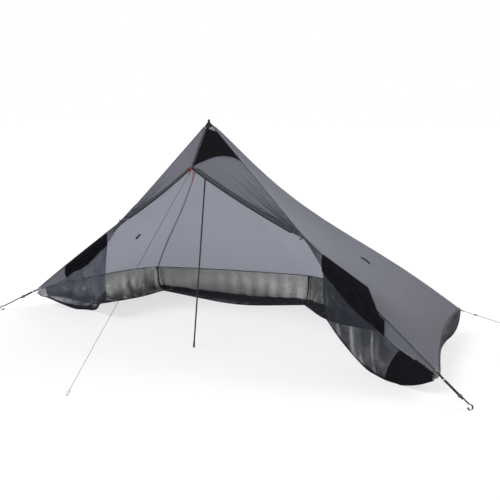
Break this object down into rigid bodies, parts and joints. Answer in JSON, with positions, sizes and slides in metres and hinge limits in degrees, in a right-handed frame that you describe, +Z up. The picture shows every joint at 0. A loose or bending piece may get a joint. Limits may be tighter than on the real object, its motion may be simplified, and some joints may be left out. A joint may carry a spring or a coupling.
{
  "type": "camping tarp",
  "caption": "Pole-pitched camping tarp with tied-back zip doors, a netting skirt sewn under its hem, and corner straps, rings, adjusters, guylines and tensioners.",
  "frame": {"origin": "on the ground, at the middle of the flat underside of the pole's foot", "axes": "+Z up, +X to the right as seen by someone who faces the doorway, +Y to the back of the tarp"},
  "size_m": [3.1605, 2.433, 1.2596],
  "materials": {
    "canopy_cloth": "thin grey coated ripstop cloth with a faint sheen, lighter where light comes through it",
    "black_cloth": "heavier black cloth, matt",
    "mesh_net": "fine black insect netting, half see-through",
    "seam_tape": "dark grey seam and hem binding with stitching",
    "black_webbing": "black ribbed webbing, matt",
    "black_cord": "thin black braided cord",
    "black_plastic": "moulded black plastic, fine grain",
    "pole_tube": "black anodised tube, satin",
    "ring_steel": "black coated wire, satin",
    "zip_metal": "black enamelled metal, satin",
    "red_cord": "red braided cord",
    "foot_rubber": "black moulded rubber, matt"
  },
  "bodies": {
    "canopy": {"back_panel": "canopy_cloth", "left_end_panel": "canopy_cloth", "right_end_panel": "canopy_cloth", "left_front_ridge_seam": "seam_tape", "left_rear_ridge_seam": "seam_tape", "right_front_ridge_seam": "seam_tape", "right_rear_ridge_seam": "seam_tape", "canopy_hem": "seam_tape", "left_door": "canopy_cloth", "right_door": "canopy_cloth", "peak_reinforcement": "black_cloth", "left_back_netting": "mesh_net", "right_back_netting": "mesh_net", "left_end_netting": "mesh_net", "right_end_netting": "mesh_net", "left_door_netting": "mesh_net", "right_door_netting": "mesh_net", "left_door_roll": "mesh_net", "right_door_roll": "mesh_net", "right_corner_panel": "black_cloth", "peak_cap": "black_cloth", "peak_cup": "black_plastic", "peak_loop": "black_webbing", "left_zip_tape": "seam_tape", "right_zip_tape": "seam_tape", "beak_webbing": "black_webbing", "left_toggle_loop": "black_cord", "right_toggle_loop": "black_cord", "left_pull_out": "black_webbing", "right_pull_out": "black_webbing", "left_corner_tab": "black_webbing", "right_corner_tab": "black_webbing", "left_corner_ring": "ring_steel", "right_corner_ring": "ring_steel", "left_strap": "black_webbing", "right_strap": "black_webbing", "left_rear_tab": "black_webbing", "right_rear_tab": "black_webbing", "back_centre_tab": "black_webbing", "left_rear_guyline": "black_cord", "right_rear_guyline": "black_cord", "back_guyline": "black_cord", "front_guyline": "black_cord"},
    "pole": {"pole_foot": "foot_rubber", "pole_section_1": "pole_tube", "pole_section_2": "pole_tube", "pole_section_3": "pole_tube", "pole_shock_cord": "black_cord", "pole_tip": "black_plastic"},
    "zip_slider": {"zip_slider": "zip_metal"},
    "outer_pull": {"outer_zip_pull": "red_cord"},
    "inner_pull": {"inner_zip_pull": "red_cord"},
    "left_toggle": {"left_door_toggle": "black_plastic"},
    "right_toggle": {"right_door_toggle": "black_plastic"},
    "left_strap_slider": {"left_strap_slider": "black_plastic"},
    "right_strap_slider": {"right_strap_slider": "black_plastic"},
    "left_tensioner": {"left_rear_tensioner": "black_plastic"},
    "right_tensioner": {"right_rear_tensioner": "black_plastic"},
    "back_tensioner": {"back_tensioner": "black_plastic"}
  },
  "joints": [
    {"name": "pole_swing", "type": "hinge", "parent": "canopy", "child": "pole", "pos_m": [0, 0.15105, 1.22912], "axis": [-1, 0, 0], "range_deg": [0, 8]},
    {"name": "zip_slide", "type": "slide", "parent": "canopy", "child": "zip_slider", "axis": [0, 0.5256, 0.8507], "range_m": [0, 0.17]},
    {"name": "outer_pull_swing", "type": "hinge", "parent": "zip_slider", "child": "outer_pull", "pos_m": [0, 0.00605, 1.01116], "axis": [-1, 0, 0], "range_deg": [0, 70]},
    {"name": "inner_pull_swing", "type": "hinge", "parent": "zip_slider", "child": "inner_pull", "pos_m": [0, 0.012, 1.00748], "axis": [1, 0, 0], "range_deg": [-15, 3]},
    {"name": "left_toggle_turn", "type": "hinge", "parent": "canopy", "child": "left_toggle", "pos_m": [-0.64392, 0.09272, 0.64552], "axis": [0.0692, -0.9976, 0], "range_deg": [0, 90]},
    {"name": "right_toggle_turn", "type": "hinge", "parent": "canopy", "child": "right_toggle", "pos_m": [0.64392, 0.09272, 0.67352], "axis": [-0.0692, -0.9976, 0], "range_deg": [0, 90]},
    {"name": "left_strap_adjust", "type": "slide", "parent": "canopy", "child": "left_strap_slider", "axis": [-0.5095, -0.759, -0.4054], "range_m": [-0.02, 0.05]},
    {"name": "right_strap_adjust", "type": "slide", "parent": "canopy", "child": "right_strap_slider", "axis": [0.8381, -0.1685, -0.5188], "range_m": [-0.02, 0.045]},
    {"name": "left_rear_line_adjust", "type": "slide", "parent": "canopy", "child": "left_tensioner", "axis": [-0.8143, 0.2188, -0.5376], "range_m": [-0.04, 0.09]},
    {"name": "right_rear_line_adjust", "type": "slide", "parent": "canopy", "child": "right_tensioner", "axis": [0.5211, 0.7821, -0.3418], "range_m": [-0.03, 0.3]},
    {"name": "back_line_adjust", "type": "slide", "parent": "canopy", "child": "back_tensioner", "axis": [-0.0001, 0.8424, -0.5389], "range_m": [-0.03, 0.15]}
  ]
}
